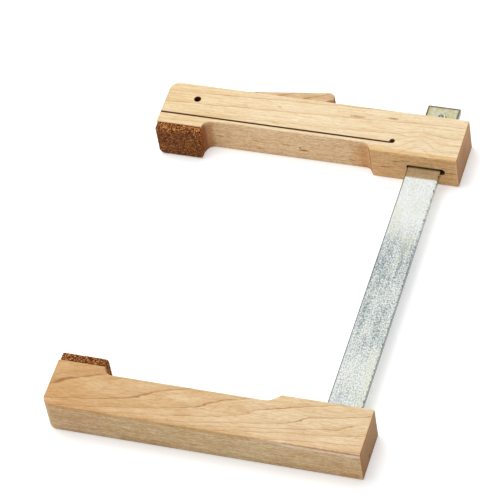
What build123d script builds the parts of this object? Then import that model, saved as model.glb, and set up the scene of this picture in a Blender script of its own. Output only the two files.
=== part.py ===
"""Luthier's cam clamp: two maple jaws, cork pads, a flat steel bar and a cam lever.

The clamp lies on its side. X runs along the jaws, from their tips towards the bar.
Y runs along the bar, from the fixed jaw towards the sliding jaw. Z is the jaws' thickness.
The origin is at the centre of the clamp's footprint, on the surface that it lies on.
"""

from build123d import *
import math
import os

# Driving dimensions of the clamp, in millimetres
MAX_OPENING = 190.0
THROAT_DEPTH = 170.0
JAW_LENGTH = 203.0
JAW_THICKNESS = 25.0
FIXED_JAW_WIDTH = 35.0
SLIDING_JAW_WIDTH = 36.0

# Shared form of the two jaws
PAD_LENGTH = 31.0
RELIEF_DEPTH = 5.7
TIP_RADIUS = 6.5
CORNER_RADIUS = 0.9
EDGE_EASE = 0.7
FIXED_RAMP = (137.9, 144.8)
FIXED_RAMP_RADIUS = 8.0
SLIDING_RAMP = (142.0, 145.6)
SLIDING_RAMP_RADIUS = 4.5

# Cork pads
CORK_THICKNESS = 6.0
CORK_TIP_INSET = 0.9
CORK_SIDE_INSET = 0.4
CORK_WORN_RADIUS = 3.5
CORK_TIP_RADIUS = 1.0
CORK_HEEL_RADIUS = 2.2
CORK_EDGE_CHAMFER = 0.5

# Flat steel bar
BAR_WIDTH = 22.0
BAR_THICKNESS = 4.0
BAR_BOTTOM = 10.0
BAR_IN_FIXED_JAW = 28.0
BAR_PAST_SLIDING_JAW = 18.5
BAR_CORNER_RADIUS = 0.7
BAR_EDGE_EASE = 0.4

# Stop pin: a rolled spring pin at the bar's free end
STOP_PIN_DIAMETER = 6.0
STOP_PIN_WALL = 1.1
STOP_PIN_LENGTH = 7.6
STOP_PIN_SLIT = 0.9
STOP_PIN_CHAMFER = 0.5
STOP_PIN_FROM_END = 10.2

# Dowel pins that hold the bar in the fixed jaw, driven from the underside
BAR_PIN_DIAMETER = 4.0
BAR_PIN_LENGTH = 17.0
BAR_PIN_RECESS = 1.5
BAR_PIN_DEPTHS = (8.5, 20.5)
BAR_PIN_OFFSET = 5.0

# Mortise of the sliding jaw, with room for the jaw to tilt and bite on the bar
MORTISE_INNER_ROOM = 0.8
MORTISE_OUTER_ROOM = 2.6
MORTISE_HEIGHT = 5.4
MORTISE_INNER_RADIUS = 1.0
MORTISE_OUTER_RADIUS = 2.5

# Saw kerf that frees the tongue, and the hole that it stops in
KERF_FROM_PAD_FACE = 8.8
KERF_WIDTH = 1.0
STOP_HOLE_X = 157.9
STOP_HOLE_OFFSET = 1.3
STOP_HOLE_DIAMETER = 3.2
TONGUE_ROOT_X = 138.0
TONGUE_ROOT_GAP = 0.05

# Cam lever, its pivot and its slot
PIVOT_X = 21.5
PIVOT_FROM_BACK = 12.7
PIVOT_PIN_DIAMETER = 4.4
PIVOT_PIN_RECESS = 2.5
PIVOT_PIN_CHAMFER = 0.4
PIVOT_RUNNING_GAP = 0.05
SLOT_WIDTH = 10.0
LEVER_THICKNESS = 9.4
LEVER_EDGE_CHAMFER = 0.8
CAM_BASE_GAP = 0.2
CAM_RISE = 3.2
CAM_TRAVEL = 100.0
CAM_ARC_END = -45.0
LEVER_BACK_AT_PIVOT = 15.5
LEVER_BACK_SLOPE = 8.7
LEVER_TIP_REACH = 86.8
LEVER_TIP_RADIUS = 4.5
LEVER_NOSE_WIDTH = 6.6
LEVER_HEEL_RADIUS = 5.0
LEVER_THROAT = (22.0, -0.6)
LEVER_THROAT_RADIUS = 12.0
LEVER_GRIP_START = (71.0, 12.2)
LEVER_GRIP_END = (82.6, 19.8)
SLOT_FLOOR_GAP = 0.8
SLOT_HEAD_END = 15.5
SLOT_CORNER_RADIUS = 3.0

# Places worked out from the driving dimensions
FOOTPRINT_DEPTH = (FIXED_JAW_WIDTH + CORK_THICKNESS + MAX_OPENING + CORK_THICKNESS
                   + SLIDING_JAW_WIDTH + BAR_PAST_SLIDING_JAW)
TIP_X = -JAW_LENGTH / 2
FIXED_FACE_Y = -FOOTPRINT_DEPTH / 2 + FIXED_JAW_WIDTH
SLIDING_FACE_Y = FIXED_FACE_Y + CORK_THICKNESS + MAX_OPENING + CORK_THICKNESS
SLIDING_BACK_Y = SLIDING_FACE_Y + SLIDING_JAW_WIDTH
BAR_END_Y = SLIDING_BACK_Y + BAR_PAST_SLIDING_JAW
BAR_CENTRE_X = TIP_X + THROAT_DEPTH + BAR_WIDTH / 2
MID_Z = JAW_THICKNESS / 2
PIVOT_Y = SLIDING_JAW_WIDTH - PIVOT_FROM_BACK
TONGUE_TOP = KERF_FROM_PAD_FACE - KERF_WIDTH / 2
KERF_TOP = KERF_FROM_PAD_FACE + KERF_WIDTH / 2
CAM_OFF_CENTRE = CAM_RISE / 2 / math.sin(math.radians(CAM_TRAVEL / 2))
CAM_CENTRE_ANGLE = math.radians(180 - CAM_TRAVEL / 2)
CAM_CENTRE = (CAM_OFF_CENTRE * math.cos(CAM_CENTRE_ANGLE), CAM_OFF_CENTRE * math.sin(CAM_CENTRE_ANGLE))
CAM_RADIUS = PIVOT_Y - TONGUE_TOP - CAM_BASE_GAP + CAM_CENTRE[1]


def corner(sketch, point):
    """The corner of a flat outline that lies nearest to a point."""
    return sketch.vertices().sort_by_distance(Vector(*point))[0]


def eased(solid, radius):
    """Round the edges round the top and bottom faces of an extruded outline."""
    faces = solid.faces().sort_by(Axis.Z)
    return fillet(faces[0].edges() + faces[-1].edges(), radius)


def jaw_blank(width, ramp, ramp_radius):
    """A jaw before its cuts: tip at x = 0, pad face at y = 0, back at y = width."""
    ramp_root, ramp_top = ramp
    cove = CenterArc((PAD_LENGTH + RELIEF_DEPTH, 0), RELIEF_DEPTH, 90, 90)
    outline = [
        Line((0, 0), (PAD_LENGTH, 0)),
        cove,
        Polyline(
            (PAD_LENGTH + RELIEF_DEPTH, RELIEF_DEPTH),
            (ramp_root, RELIEF_DEPTH),
            (ramp_top, 0),
            (JAW_LENGTH, 0),
            (JAW_LENGTH, width),
            (0, width),
            (0, 0),
        ),
    ]
    plan = make_face(outline)
    plan = fillet(corner(plan, (ramp_root, RELIEF_DEPTH)), ramp_radius)
    plan = fillet(corner(plan, (0, width)), TIP_RADIUS)
    for point in ((0, 0), (JAW_LENGTH, 0), (JAW_LENGTH, width), (ramp_top, 0)):
        plan = fillet(corner(plan, point), CORNER_RADIUS)
    return eased(extrude(plan, JAW_THICKNESS), EDGE_EASE)


def in_fixed_place(solid):
    """Turn a blank over so that its pad face looks towards the sliding jaw."""
    return Pos(TIP_X, FIXED_FACE_Y, 0) * mirror(solid, Plane.XZ)


def in_sliding_place(solid):
    """Set a blank with its pad face looking towards the fixed jaw."""
    return Pos(TIP_X, SLIDING_FACE_Y, 0) * solid


def bar_pin_shapes():
    """The two dowel pins, as driven up into the fixed jaw through the bar."""
    pins = []
    for depth, side in zip(BAR_PIN_DEPTHS, (1, -1)):
        x = BAR_CENTRE_X + side * BAR_PIN_OFFSET
        y = FIXED_FACE_Y - depth
        pin = Cylinder(BAR_PIN_DIAMETER / 2, BAR_PIN_LENGTH, align=(Align.CENTER, Align.CENTER, Align.MIN))
        pins.append(Pos(x, y, BAR_PIN_RECESS) * pin)
    return pins


def bar_pin_bores():
    """The blind bores for the dowel pins, open at the underside."""
    bores = []
    for depth, side in zip(BAR_PIN_DEPTHS, (1, -1)):
        x = BAR_CENTRE_X + side * BAR_PIN_OFFSET
        y = FIXED_FACE_Y - depth
        length = BAR_PIN_RECESS + BAR_PIN_LENGTH
        bore = Cylinder(BAR_PIN_DIAMETER / 2, length, align=(Align.CENTER, Align.CENTER, Align.MIN))
        bores.append(Pos(x, y, 0) * bore)
    return bores


def bar_blank():
    """The flat bar without its holes, from inside the fixed jaw to its free end."""
    low_y = FIXED_FACE_Y - BAR_IN_FIXED_JAW
    length = BAR_END_Y - low_y
    plan = Pos(BAR_CENTRE_X, low_y + length / 2) * Rectangle(BAR_WIDTH, length)
    free_end = plan.vertices().sort_by(Axis.Y)[-2:]
    plan = fillet(free_end, BAR_CORNER_RADIUS)
    return Pos(0, 0, BAR_BOTTOM) * extrude(plan, BAR_THICKNESS)


def stop_pin_place():
    """The place of the stop pin's middle, on the bar's centre line near its free end."""
    return Pos(BAR_CENTRE_X, BAR_END_Y - STOP_PIN_FROM_END, BAR_BOTTOM + BAR_THICKNESS / 2)


def make_bar():
    """Flat bar with eased edges, drilled for the dowel pins and the stop pin."""
    bar = eased(bar_blank(), BAR_EDGE_EASE)
    for bore in bar_pin_bores():
        bar -= bore
    return bar - stop_pin_place() * Cylinder(STOP_PIN_DIAMETER / 2, 4 * BAR_THICKNESS)


def make_stop_pin():
    """Rolled spring pin with a slit down its side and chamfered ends."""
    radius = STOP_PIN_DIAMETER / 2
    pin = Cylinder(radius, STOP_PIN_LENGTH)
    pin = chamfer(pin.edges().filter_by(GeomType.CIRCLE), STOP_PIN_CHAMFER)
    pin -= Cylinder(radius - STOP_PIN_WALL, STOP_PIN_LENGTH)
    pin -= Pos(radius, 0, 0) * Box(2 * radius, STOP_PIN_SLIT, STOP_PIN_LENGTH)
    return stop_pin_place() * (Rot(0, 0, -90) * pin)


def make_fixed_jaw():
    """Fixed jaw with a blind mortise that the bar fills."""
    jaw = in_fixed_place(jaw_blank(FIXED_JAW_WIDTH, FIXED_RAMP, FIXED_RAMP_RADIUS))
    for bore in bar_pin_bores():
        jaw -= bore
    return jaw - eased(bar_blank(), BAR_EDGE_EASE)


def cork_pad():
    """A cork pad on the pad face of a blank, standing out towards minus y."""
    length = PAD_LENGTH - CORK_TIP_INSET
    height = JAW_THICKNESS - 2 * CORK_SIDE_INSET
    face = Rectangle(length, height)
    face = fillet(corner(face, (-length / 2, -height / 2)), CORK_WORN_RADIUS)
    face = fillet(corner(face, (-length / 2, height / 2)), CORK_TIP_RADIUS)
    face = fillet(corner(face, (length / 2, -height / 2)), CORK_HEEL_RADIUS)
    face = fillet(corner(face, (length / 2, height / 2)), CORK_HEEL_RADIUS)
    middle = (CORK_TIP_INSET + length / 2, 0, MID_Z)
    pad = extrude(Plane(origin=middle, x_dir=(1, 0, 0), z_dir=(0, -1, 0)) * face, CORK_THICKNESS)
    return chamfer(pad.faces().sort_by(Axis.Y)[0].edges(), CORK_EDGE_CHAMFER)


def lever_back_y(x):
    """The height of the lever's back edge above the pivot, at a distance along the jaw."""
    return LEVER_BACK_AT_PIVOT + x * math.tan(math.radians(LEVER_BACK_SLOPE))


def cam_heel_angle():
    """Where the round cam meets the line of the lever's back edge, seen from the cam's centre."""
    slope = math.radians(LEVER_BACK_SLOPE)
    above_centre = lever_back_y(CAM_CENTRE[0]) - CAM_CENTRE[1]
    return math.degrees(math.acos(above_centre * math.cos(slope) / CAM_RADIUS) + slope) + 90


def lever_outline():
    """The lever's outline round its pivot: a disc drilled off its centre, with a handle."""
    heel_angle = cam_heel_angle()
    cam = CenterArc(CAM_CENTRE, CAM_RADIUS, heel_angle, 360 + CAM_ARC_END - heel_angle)
    tip = (LEVER_TIP_REACH, lever_back_y(LEVER_TIP_REACH))
    nose = (LEVER_TIP_REACH, tip[1] - LEVER_NOSE_WIDTH)
    handle_front = (LEVER_GRIP_START[0] - LEVER_THROAT[0], LEVER_GRIP_START[1] - LEVER_THROAT[1])
    plan = make_face([
        cam,
        Polyline(cam @ 0, tip, nose, LEVER_GRIP_END),
        TangentArc(LEVER_GRIP_START, LEVER_GRIP_END, tangent=handle_front),
        Polyline(LEVER_GRIP_START, LEVER_THROAT, cam @ 1),
    ])
    plan = fillet(corner(plan, LEVER_THROAT), LEVER_THROAT_RADIUS)
    plan = fillet(corner(plan, cam @ 0), LEVER_HEEL_RADIUS)
    return fillet(corner(plan, tip), LEVER_TIP_RADIUS)


def make_cam_lever():
    """Wooden lever with a round cam off its pivot hole and a finger grip at its tip."""
    lever = extrude(lever_outline(), LEVER_THICKNESS)
    sides = lever.faces().sort_by(Axis.Z)
    lever = chamfer(sides[0].edges() + sides[-1].edges(), LEVER_EDGE_CHAMFER)
    lever -= Cylinder(PIVOT_PIN_DIAMETER / 2 + PIVOT_RUNNING_GAP, 3 * LEVER_THICKNESS)
    place = Pos(PIVOT_X, PIVOT_Y, MID_Z - LEVER_THICKNESS / 2)
    return in_sliding_place(place * lever)


def lever_slot():
    """The slot for the lever: down to the kerf under the cam, and sloping up to the back."""
    floor_start = (PIVOT_X + LEVER_THROAT[0], PIVOT_Y + LEVER_THROAT[1] - SLOT_FLOOR_GAP)
    floor_end = (PIVOT_X + LEVER_GRIP_START[0], PIVOT_Y + LEVER_GRIP_START[1] - SLOT_FLOOR_GAP)
    slope = (floor_end[1] - floor_start[1]) / (floor_end[0] - floor_start[0])
    past_back = SLIDING_JAW_WIDTH + 1
    mouth_x = floor_end[0] + (past_back - floor_end[1]) / slope
    head_end = (PIVOT_X + SLOT_HEAD_END, KERF_FROM_PAD_FACE)
    plan = make_face(Polyline(
        (-1, KERF_FROM_PAD_FACE),
        head_end,
        floor_start,
        (mouth_x, past_back),
        (-1, past_back),
        close=True,
    ))
    plan = fillet(corner(plan, floor_start), SLOT_CORNER_RADIUS)
    return Pos(0, 0, MID_Z - SLOT_WIDTH / 2) * extrude(plan, SLOT_WIDTH)


def sliding_mortise():
    """The mortise for the bar, square at the throat side and round at the outer side."""
    low_x = THROAT_DEPTH - MORTISE_INNER_ROOM
    high_x = THROAT_DEPTH + BAR_WIDTH + MORTISE_OUTER_ROOM
    section = Rectangle(high_x - low_x, MORTISE_HEIGHT)
    inner = section.vertices().sort_by(Axis.X)[:2]
    section = fillet(inner, MORTISE_INNER_RADIUS)
    outer = section.vertices().sort_by(Axis.X)[-2:]
    section = fillet(outer, MORTISE_OUTER_RADIUS)
    plane = Plane(origin=((low_x + high_x) / 2, -1, MID_Z), x_dir=(1, 0, 0), z_dir=(0, 1, 0))
    return extrude(plane * section, SLIDING_JAW_WIDTH + 2)


def sliding_blank():
    """The sliding jaw with all its cuts, before the tongue is told apart from it."""
    jaw = jaw_blank(SLIDING_JAW_WIDTH, SLIDING_RAMP, SLIDING_RAMP_RADIUS)
    through = 4 * JAW_THICKNESS
    jaw -= Pos(STOP_HOLE_X / 2, KERF_FROM_PAD_FACE, 0) * Box(STOP_HOLE_X, KERF_WIDTH, through)
    stop_hole = Pos(STOP_HOLE_X, KERF_FROM_PAD_FACE + STOP_HOLE_OFFSET, 0)
    jaw -= stop_hole * Cylinder(STOP_HOLE_DIAMETER / 2, through)
    jaw -= lever_slot()
    jaw -= Pos(PIVOT_X, PIVOT_Y, 0) * Cylinder(PIVOT_PIN_DIAMETER / 2, through)
    return jaw - sliding_mortise()


def tongue_space(root_x):
    """Everything below the kerf, from the tip to the tongue's root."""
    block = Box(root_x + 1, KERF_FROM_PAD_FACE + 1, 2 * JAW_THICKNESS, align=(Align.MIN, Align.MIN, Align.CENTER))
    return Pos(-1, -1, MID_Z) * block


def make_sliding_jaw():
    """Sliding jaw: two cheeks over the tongue, and the solid block round the bar."""
    return in_sliding_place(sliding_blank() - tongue_space(TONGUE_ROOT_X))


def make_jaw_tongue():
    """The springy tongue between the saw kerf and the relief, with the pad block at its end."""
    return in_sliding_place(sliding_blank() & tongue_space(TONGUE_ROOT_X - TONGUE_ROOT_GAP))


def make_pivot_pin():
    """Steel pin that the cam lever turns on, sunk below both sides of the jaw."""
    length = JAW_THICKNESS - 2 * PIVOT_PIN_RECESS
    pin = Cylinder(PIVOT_PIN_DIAMETER / 2, length)
    pin = chamfer(pin.edges().filter_by(GeomType.CIRCLE), PIVOT_PIN_CHAMFER)
    return in_sliding_place(Pos(PIVOT_X, PIVOT_Y, MID_Z) * pin)


def write(name, shape):
    """Write one piece to its own file."""
    export_step(shape, "parts/" + name + ".step")


def main():
    """Make every piece of the clamp and write it."""
    os.makedirs("parts", exist_ok=True)
    write("fixed_jaw", make_fixed_jaw())
    write("fixed_jaw_cork_pad", in_fixed_place(cork_pad()))
    write("bar", make_bar())
    write("bar_dowel_pins", Compound(children=bar_pin_shapes()))
    write("bar_stop_pin", make_stop_pin())
    write("sliding_jaw", make_sliding_jaw())
    write("jaw_tongue", make_jaw_tongue())
    write("sliding_jaw_cork_pad", in_sliding_place(cork_pad()))
    write("cam_lever", make_cam_lever())
    write("cam_pivot_pin", make_pivot_pin())


main()
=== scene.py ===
"""Looks of the luthier's cam clamp: two maple jaws, cork pads, a zinc-plated bar and a lever.

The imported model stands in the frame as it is. This script dresses its nodes, puts finer
pieces in the place of the plain ones, and adds the camera, the lights and the floor.
"""

import logging
import math
from dataclasses import dataclass
from enum import Enum
from typing import Any, Callable, Mapping, NamedTuple, Sequence

import bpy
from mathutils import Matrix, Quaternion, Vector


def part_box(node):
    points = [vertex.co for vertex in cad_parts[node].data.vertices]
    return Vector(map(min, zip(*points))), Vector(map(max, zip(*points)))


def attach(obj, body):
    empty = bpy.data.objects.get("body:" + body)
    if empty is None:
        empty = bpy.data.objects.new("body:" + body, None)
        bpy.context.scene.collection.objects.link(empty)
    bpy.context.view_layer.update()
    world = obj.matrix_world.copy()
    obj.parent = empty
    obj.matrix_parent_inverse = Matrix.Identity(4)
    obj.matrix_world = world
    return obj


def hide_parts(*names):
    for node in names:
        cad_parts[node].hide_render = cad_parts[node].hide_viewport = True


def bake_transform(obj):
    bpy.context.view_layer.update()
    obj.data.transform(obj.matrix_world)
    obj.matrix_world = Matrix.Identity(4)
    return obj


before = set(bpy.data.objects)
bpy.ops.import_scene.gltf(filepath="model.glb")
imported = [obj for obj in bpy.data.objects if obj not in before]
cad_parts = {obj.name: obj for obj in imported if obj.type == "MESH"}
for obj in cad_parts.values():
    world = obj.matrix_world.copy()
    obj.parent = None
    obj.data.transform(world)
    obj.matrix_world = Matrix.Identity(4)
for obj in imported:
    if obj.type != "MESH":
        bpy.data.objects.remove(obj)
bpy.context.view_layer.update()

MM = 0.001
LOG = logging.getLogger("clamp")

Colour = tuple[float, float, float]
Point = tuple[float, float, float]
Span = tuple[float, float]

BLACK: Colour = (0.0, 0.0, 0.0)
WHITE: Colour = (1.0, 1.0, 1.0)


class Body(Enum):
    """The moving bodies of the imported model."""

    FIXED = "fixed"
    SLIDER = "slider"
    TONGUE = "tongue"
    LEVER = "lever"


class Number:
    """A shader socket that carries a number, with the arithmetic of plain numbers."""

    def __init__(self, recipe: "Recipe", socket: bpy.types.NodeSocket) -> None:
        """Wrap a socket.

        Args:
            recipe: the material that the socket belongs to.
            socket: the output that carries the number.
        """
        self.recipe = recipe
        self.socket = socket

    def __add__(self, other: Any) -> "Number":
        """Self plus other."""
        return self.recipe.maths("ADD", self, other)

    __radd__ = __add__

    def __sub__(self, other: Any) -> "Number":
        """Self less other."""
        return self.recipe.maths("SUBTRACT", self, other)

    def __rsub__(self, other: Any) -> "Number":
        """Other less self."""
        return self.recipe.maths("SUBTRACT", other, self)

    def __mul__(self, other: Any) -> "Number":
        """Self times other."""
        return self.recipe.maths("MULTIPLY", self, other)

    __rmul__ = __mul__

    def __abs__(self) -> "Number":
        """Self without its sign."""
        return self.recipe.maths("ABSOLUTE", self)

    def part(self) -> "Number":
        """The part of self after the point."""
        return self.recipe.maths("FRACT", self)

    def least(self, other: Any) -> "Number":
        """The lesser of self and other."""
        return self.recipe.maths("MINIMUM", self, other)

    def most(self, other: Any) -> "Number":
        """The greater of self and other."""
        return self.recipe.maths("MAXIMUM", self, other)

    def ramp(self, low: float, high: float, start: float = 0.0, end: float = 1.0) -> "Number":
        """A soft step over self.

        Args:
            low: the value of self where the step starts.
            high: the value of self where it ends, which may be less than low.
            start: the result before the step.
            end: the result after it.

        Returns:
            The stepped number.
        """
        limits = {"Value": self, "From Min": low, "From Max": high, "To Min": start, "To Max": end}
        made = self.recipe.node("ShaderNodeMapRange", {"interpolation_type": "SMOOTHSTEP"}, limits)
        return Number(self.recipe, made.outputs["Result"])


class Recipe:
    """Builds the nodes of one material."""

    MIX_FACTOR, MIX_A, MIX_B, MIX_RESULT = 0, 6, 7, 2

    def __init__(self, name: str) -> None:
        """Start an empty material.

        Args:
            name: the material's name.
        """
        self.material = bpy.data.materials.new(name)
        self.material.use_nodes = True
        self.tree = self.material.node_tree
        self.tree.nodes.clear()

    def node(
        self,
        kind: str,
        settings: Mapping[str, Any] | None = None,
        inputs: Mapping[str | int, Any] | None = None,
    ) -> bpy.types.ShaderNode:
        """Add any node.

        Args:
            kind: the node's type.
            settings: what is set on the node before its sockets. The stops of a ramp and
                the points of a curve have the names stops and curve.
            inputs: the value or link of each named socket.

        Returns:
            The new node.
        """
        made = self.tree.nodes.new(kind)
        for name, value in (settings or {}).items():
            if name == "stops":
                self._set_stops(made.color_ramp, value)
            elif name == "curve":
                self._set_curve(made.mapping, value)
            else:
                setattr(made, name, value)
        for name, value in (inputs or {}).items():
            self._plug(made.inputs[name], value)
        return made

    def _plug(self, socket: bpy.types.NodeSocket, value: Any) -> None:
        """Link a socket, or give it a plain value.

        Args:
            socket: the input to fill.
            value: a number, a colour, another node's socket or a Number.
        """
        if isinstance(value, Number):
            value = value.socket
        if isinstance(value, bpy.types.NodeSocket):
            self.tree.links.new(value, socket)
        else:
            socket.default_value = (*value, 1.0) if socket.type == "RGBA" else value

    @staticmethod
    def _set_stops(ramp: bpy.types.ColorRamp, stops: Sequence[tuple[float, Colour]]) -> None:
        """Give a colour ramp its stops.

        Args:
            ramp: the ramp, as a new node has it.
            stops: the place and the colour of each stop.
        """
        while len(ramp.elements) < len(stops):
            ramp.elements.new(1.0)
        for element, (place, colour) in zip(ramp.elements, stops):
            element.position = place
            element.color = (*colour, 1.0)

    @staticmethod
    def _set_curve(mapping: bpy.types.CurveMapping, points: Sequence[tuple[float, float]]) -> None:
        """Give a curve its points.

        Args:
            mapping: the curve, as a new node has it.
            points: the points from left to right.
        """
        curve = mapping.curves[0]
        while len(curve.points) < len(points):
            curve.points.new(1.0, 1.0)
        for point, place in zip(curve.points, points):
            point.location = place
            point.handle_type = "AUTO_CLAMPED"
        mapping.update()

    def maths(self, operation: str, *values: Any) -> Number:
        """One Math node."""
        made = self.node("ShaderNodeMath", {"operation": operation}, dict(enumerate(values)))
        return Number(self, made.outputs[0])

    def mix(self, factor: Any, first: Any, second: Any, blend: str = "MIX") -> bpy.types.NodeSocket:
        """Mix two colours.

        Args:
            factor: how much of the second colour shows.
            first: a colour or a link.
            second: a colour or a link.
            blend: the way that the second goes over the first.

        Returns:
            The mixed colour's socket.
        """
        settings = {"data_type": "RGBA", "blend_type": blend, "clamp_factor": True}
        inputs = {self.MIX_FACTOR: factor, self.MIX_A: first, self.MIX_B: second}
        return self.node("ShaderNodeMix", settings, inputs).outputs[self.MIX_RESULT]

    def place(self) -> tuple[Number, Number, Number]:
        """The point of the surface in the row frame, in millimetres."""
        point = self.node("ShaderNodeTexCoord").outputs["Object"]
        return self._split(self.scaled(point, (1 / MM, 1 / MM, 1 / MM)))

    def facing(self) -> tuple[Number, Number, Number]:
        """How far the surface faces along X, Y and Z, without the sign."""
        normal = self.node("ShaderNodeTexCoord").outputs["Normal"]
        return tuple(abs(number) for number in self._split(normal))

    def scaled(self, vector: Any, scale: Point) -> bpy.types.NodeSocket:
        """A vector times a scale along each axis."""
        made = self.node("ShaderNodeVectorMath", {"operation": "MULTIPLY"}, {0: vector, 1: scale})
        return made.outputs[0]

    def _split(self, vector: bpy.types.NodeSocket) -> tuple[Number, Number, Number]:
        """A vector's three numbers."""
        made = self.node("ShaderNodeSeparateXYZ", None, {0: vector})
        return tuple(Number(self, made.outputs[axis]) for axis in range(3))

    def joined(self, x: Any, y: Any, z: Any) -> bpy.types.NodeSocket:
        """Three numbers as a vector."""
        return self.node("ShaderNodeCombineXYZ", None, {0: x, 1: y, 2: z}).outputs[0]

    def noise(self, x: Any, y: Any, z: Any, detail: float = 2.0, rough: float = 0.5) -> Number:
        """Smooth noise from 0 to 1 over three numbers.

        Args:
            x: the first number, in lengths of the noise's waves.
            y: the second.
            z: the third.
            detail: how many finer waves are added.
            rough: how strong those are.

        Returns:
            The noise.
        """
        inputs = {"Vector": self.joined(x, y, z), "Scale": 1.0, "Detail": detail, "Roughness": rough}
        return Number(self, self.node("ShaderNodeTexNoise", None, inputs).outputs[0])

    def cells(self, x: Any, y: Any, z: Any, feature: str = "F1") -> bpy.types.ShaderNode:
        """A Voronoi node over three numbers, in lengths of its cells."""
        inputs = {"Vector": self.joined(x, y, z), "Scale": 1.0}
        return self.node("ShaderNodeTexVoronoi", {"feature": feature}, inputs)

    def ramp(self, factor: Any, stops: Sequence[tuple[float, Colour]]) -> bpy.types.NodeSocket:
        """A colour ramp."""
        return self.node("ShaderNodeValToRGB", {"stops": stops}, {0: factor}).outputs[0]

    def curve(self, value: Number, points: Sequence[tuple[float, float]]) -> Number:
        """A number led through a curve."""
        made = self.node("ShaderNodeFloatCurve", {"curve": points}, {"Value": value})
        return Number(self, made.outputs[0])

    def surface(self, **sockets: Any) -> bpy.types.Material:
        """Close the recipe with one shader.

        Args:
            **sockets: the value or link of each socket of the shader, with an underscore
                for each space in its name.

        Returns:
            The finished material.
        """
        inputs = {name.replace("_", " "): value for name, value in sockets.items()}
        shader = self.node("ShaderNodeBsdfPrincipled", None, inputs)
        self.node("ShaderNodeOutputMaterial", None, {"Surface": shader.outputs[0]})
        return self.material

    def bump(self, height: Number, depth: float, strength: float = 1.0) -> bpy.types.NodeSocket:
        """A bumped normal, with the depth of its relief in metres."""
        inputs = {"Height": height, "Distance": depth, "Strength": strength}
        return self.node("ShaderNodeBump", None, inputs).outputs[0]


class Spot(NamedTuple):
    """The point of a surface that a material is worked out for, in millimetres."""

    recipe: Recipe
    x: Number
    y: Number
    z: Number


@dataclass(frozen=True)
class Fleck:
    """A dark mark: its centre, its half lengths in millimetres, and its depth."""

    centre: Point
    reach: Point
    depth: float = 0.6
    raggedness: float = 1.2

    def mask(self, spot: Spot) -> Number:
        """Where the mark shows, ragged at its rim.

        Args:
            spot: the point of the surface.

        Returns:
            The mark's depth at its heart, and 0 outside it.
        """
        recipe, x, y, z = spot
        along = (x - self.centre[0]) * (1 / self.reach[0])
        across = (y - self.centre[1]) * (1 / self.reach[1])
        through = (z - self.centre[2]) * (1 / self.reach[2])
        distance = along * along + across * across + through * through
        uneven = recipe.noise(x * 0.6, y * 1.6, z * 1.6)
        return (distance + uneven * self.raggedness).ramp(0.5, 1.5, self.depth, 0.0)


@dataclass(frozen=True)
class RoundZone:
    """A round zone along Z, such as the wall of a bore."""

    centre: tuple[float, float]
    radius: float
    soft: float = 0.25
    depth: float = 1.0

    def mask(self, spot: Spot) -> Number:
        """Where the zone is, at any height.

        Args:
            spot: the point of the surface.

        Returns:
            The zone's depth inside it, and 0 outside.
        """
        recipe, x, y, _ = spot
        offset = recipe.joined(x - self.centre[0], y - self.centre[1], 0.0)
        length = recipe.node("ShaderNodeVectorMath", {"operation": "LENGTH"}, {0: offset})
        distance = Number(recipe, length.outputs["Value"])
        return distance.ramp(self.radius + self.soft, self.radius, 0.0, self.depth)


@dataclass(frozen=True)
class BoxZone:
    """A zone with flat sides, such as the walls of a slot.

    It fades out over the length soft, and ragged is how far its sides wander along Y and Z.
    """

    low: Point
    high: Point
    soft: float = 0.25
    depth: float = 1.0
    ragged: float = 0.0

    def mask(self, spot: Spot) -> Number:
        """Where the zone is.

        Args:
            spot: the point of the surface.

        Returns:
            The zone's depth inside it, and 0 outside.
        """
        recipe, x, y, z = spot
        if self.ragged:
            wobble = recipe.noise(x * 0.5, y * 0.8, z * 0.8, detail=3.0, rough=0.7) - 0.5
            y, z = y + wobble * self.ragged, z + wobble * self.ragged
        inside = None
        for value, low, high in zip((x, y, z), self.low, self.high):
            between = value.ramp(low - self.soft, low) * value.ramp(high + self.soft, high)
            inside = between if inside is None else inside * between
        return inside * self.depth


Shade = tuple[BoxZone, Colour]


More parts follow.
